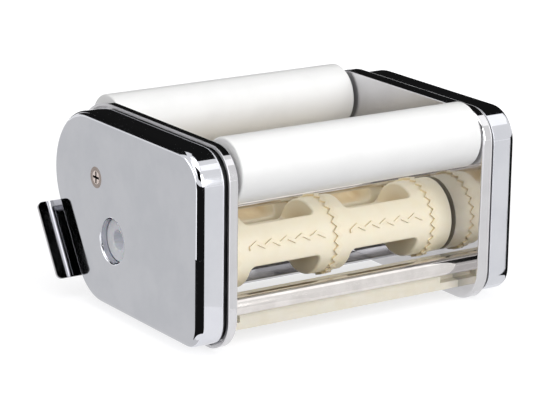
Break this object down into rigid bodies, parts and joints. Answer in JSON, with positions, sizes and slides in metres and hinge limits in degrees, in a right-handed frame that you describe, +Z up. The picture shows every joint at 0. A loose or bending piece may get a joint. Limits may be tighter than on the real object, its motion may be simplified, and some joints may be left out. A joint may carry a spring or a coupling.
{
  "type": "ravioli moulding attachment",
  "caption": "Ravioli moulding attachment: two geared pocket rollers under two feed tubes, between deep chrome cheeks with a crank socket and mounting ears.",
  "frame": {"origin": "middle of the footprint, level with the bottom edge of the side plates", "axes": "+X along the rollers away from the crank socket, +Z up, -Y towards the front"},
  "size_m": [0.2202, 0.1566, 0.1102],
  "materials": {
    "chrome_plate": "polished",
    "black_plastic": "matt",
    "white_plastic": "smooth",
    "white_nylon": "satin",
    "cream_plastic": "satin",
    "chrome_rod": "polished",
    "bright_steel": "turned",
    "nickel_screw": "plated"
  },
  "bodies": {
    "frame": {"side_plate_left": "chrome_plate", "side_plate_right": "chrome_plate", "cover_left": "chrome_plate", "cover_right": "chrome_plate", "spacer_frame_left": "black_plastic", "spacer_frame_right": "black_plastic", "front_tie_rod": "bright_steel", "rear_tie_rod": "bright_steel", "front_lower_rod": "chrome_rod", "rear_lower_rod": "chrome_rod", "front_guide_rod": "chrome_rod", "rear_guide_rod": "chrome_rod", "front_scraper": "cream_plastic", "rear_scraper": "cream_plastic", "mounting_plate": "chrome_plate", "mounting_rivets": "chrome_plate", "plate_screws": "bright_steel", "cover_post_left": "bright_steel", "cover_post_right": "bright_steel", "cover_screws": "nickel_screw", "front_bearing_left": "white_nylon", "front_bearing_right": "white_nylon", "rear_bearing_left": "white_nylon", "rear_bearing_right": "white_nylon"},
    "driving_roller": {"rear_roller": "cream_plastic", "rear_roller_shaft": "bright_steel", "rear_gear": "bright_steel", "rear_gear_pin": "bright_steel", "crank_hub": "white_nylon", "crank_hub_pin": "bright_steel"},
    "driven_roller": {"front_roller": "cream_plastic", "front_roller_shaft": "bright_steel", "front_gear": "bright_steel", "front_gear_pin": "bright_steel", "front_shaft_clip": "bright_steel"},
    "front_feed_tube": {"front_tube": "white_plastic", "front_tube_bush_left": "white_plastic", "front_tube_bush_right": "white_plastic"},
    "rear_feed_tube": {"rear_tube": "white_plastic", "rear_tube_bush_left": "white_plastic", "rear_tube_bush_right": "white_plastic"}
  },
  "joints": [
    {"name": "rear_roller_spin", "type": "hinge", "parent": "frame", "child": "driving_roller", "pos_m": [0, 0.00972, 0.0418], "axis": [1, 0, 0], "continuous": true},
    {"name": "front_roller_spin", "type": "hinge", "parent": "frame", "child": "driven_roller", "pos_m": [0, -0.03428, 0.0418], "axis": [1, 0, 0], "continuous": true},
    {"name": "front_tube_spin", "type": "hinge", "parent": "frame", "child": "front_feed_tube", "pos_m": [0, -0.06078, 0.0927], "axis": [1, 0, 0], "continuous": true},
    {"name": "rear_tube_spin", "type": "hinge", "parent": "frame", "child": "rear_feed_tube", "pos_m": [0, 0.05542, 0.0911], "axis": [1, 0, 0], "continuous": true}
  ],
  "couplings": [
    {"joint": "front_roller_spin", "follows": "rear_roller_spin", "ratio": -1}
  ]
}
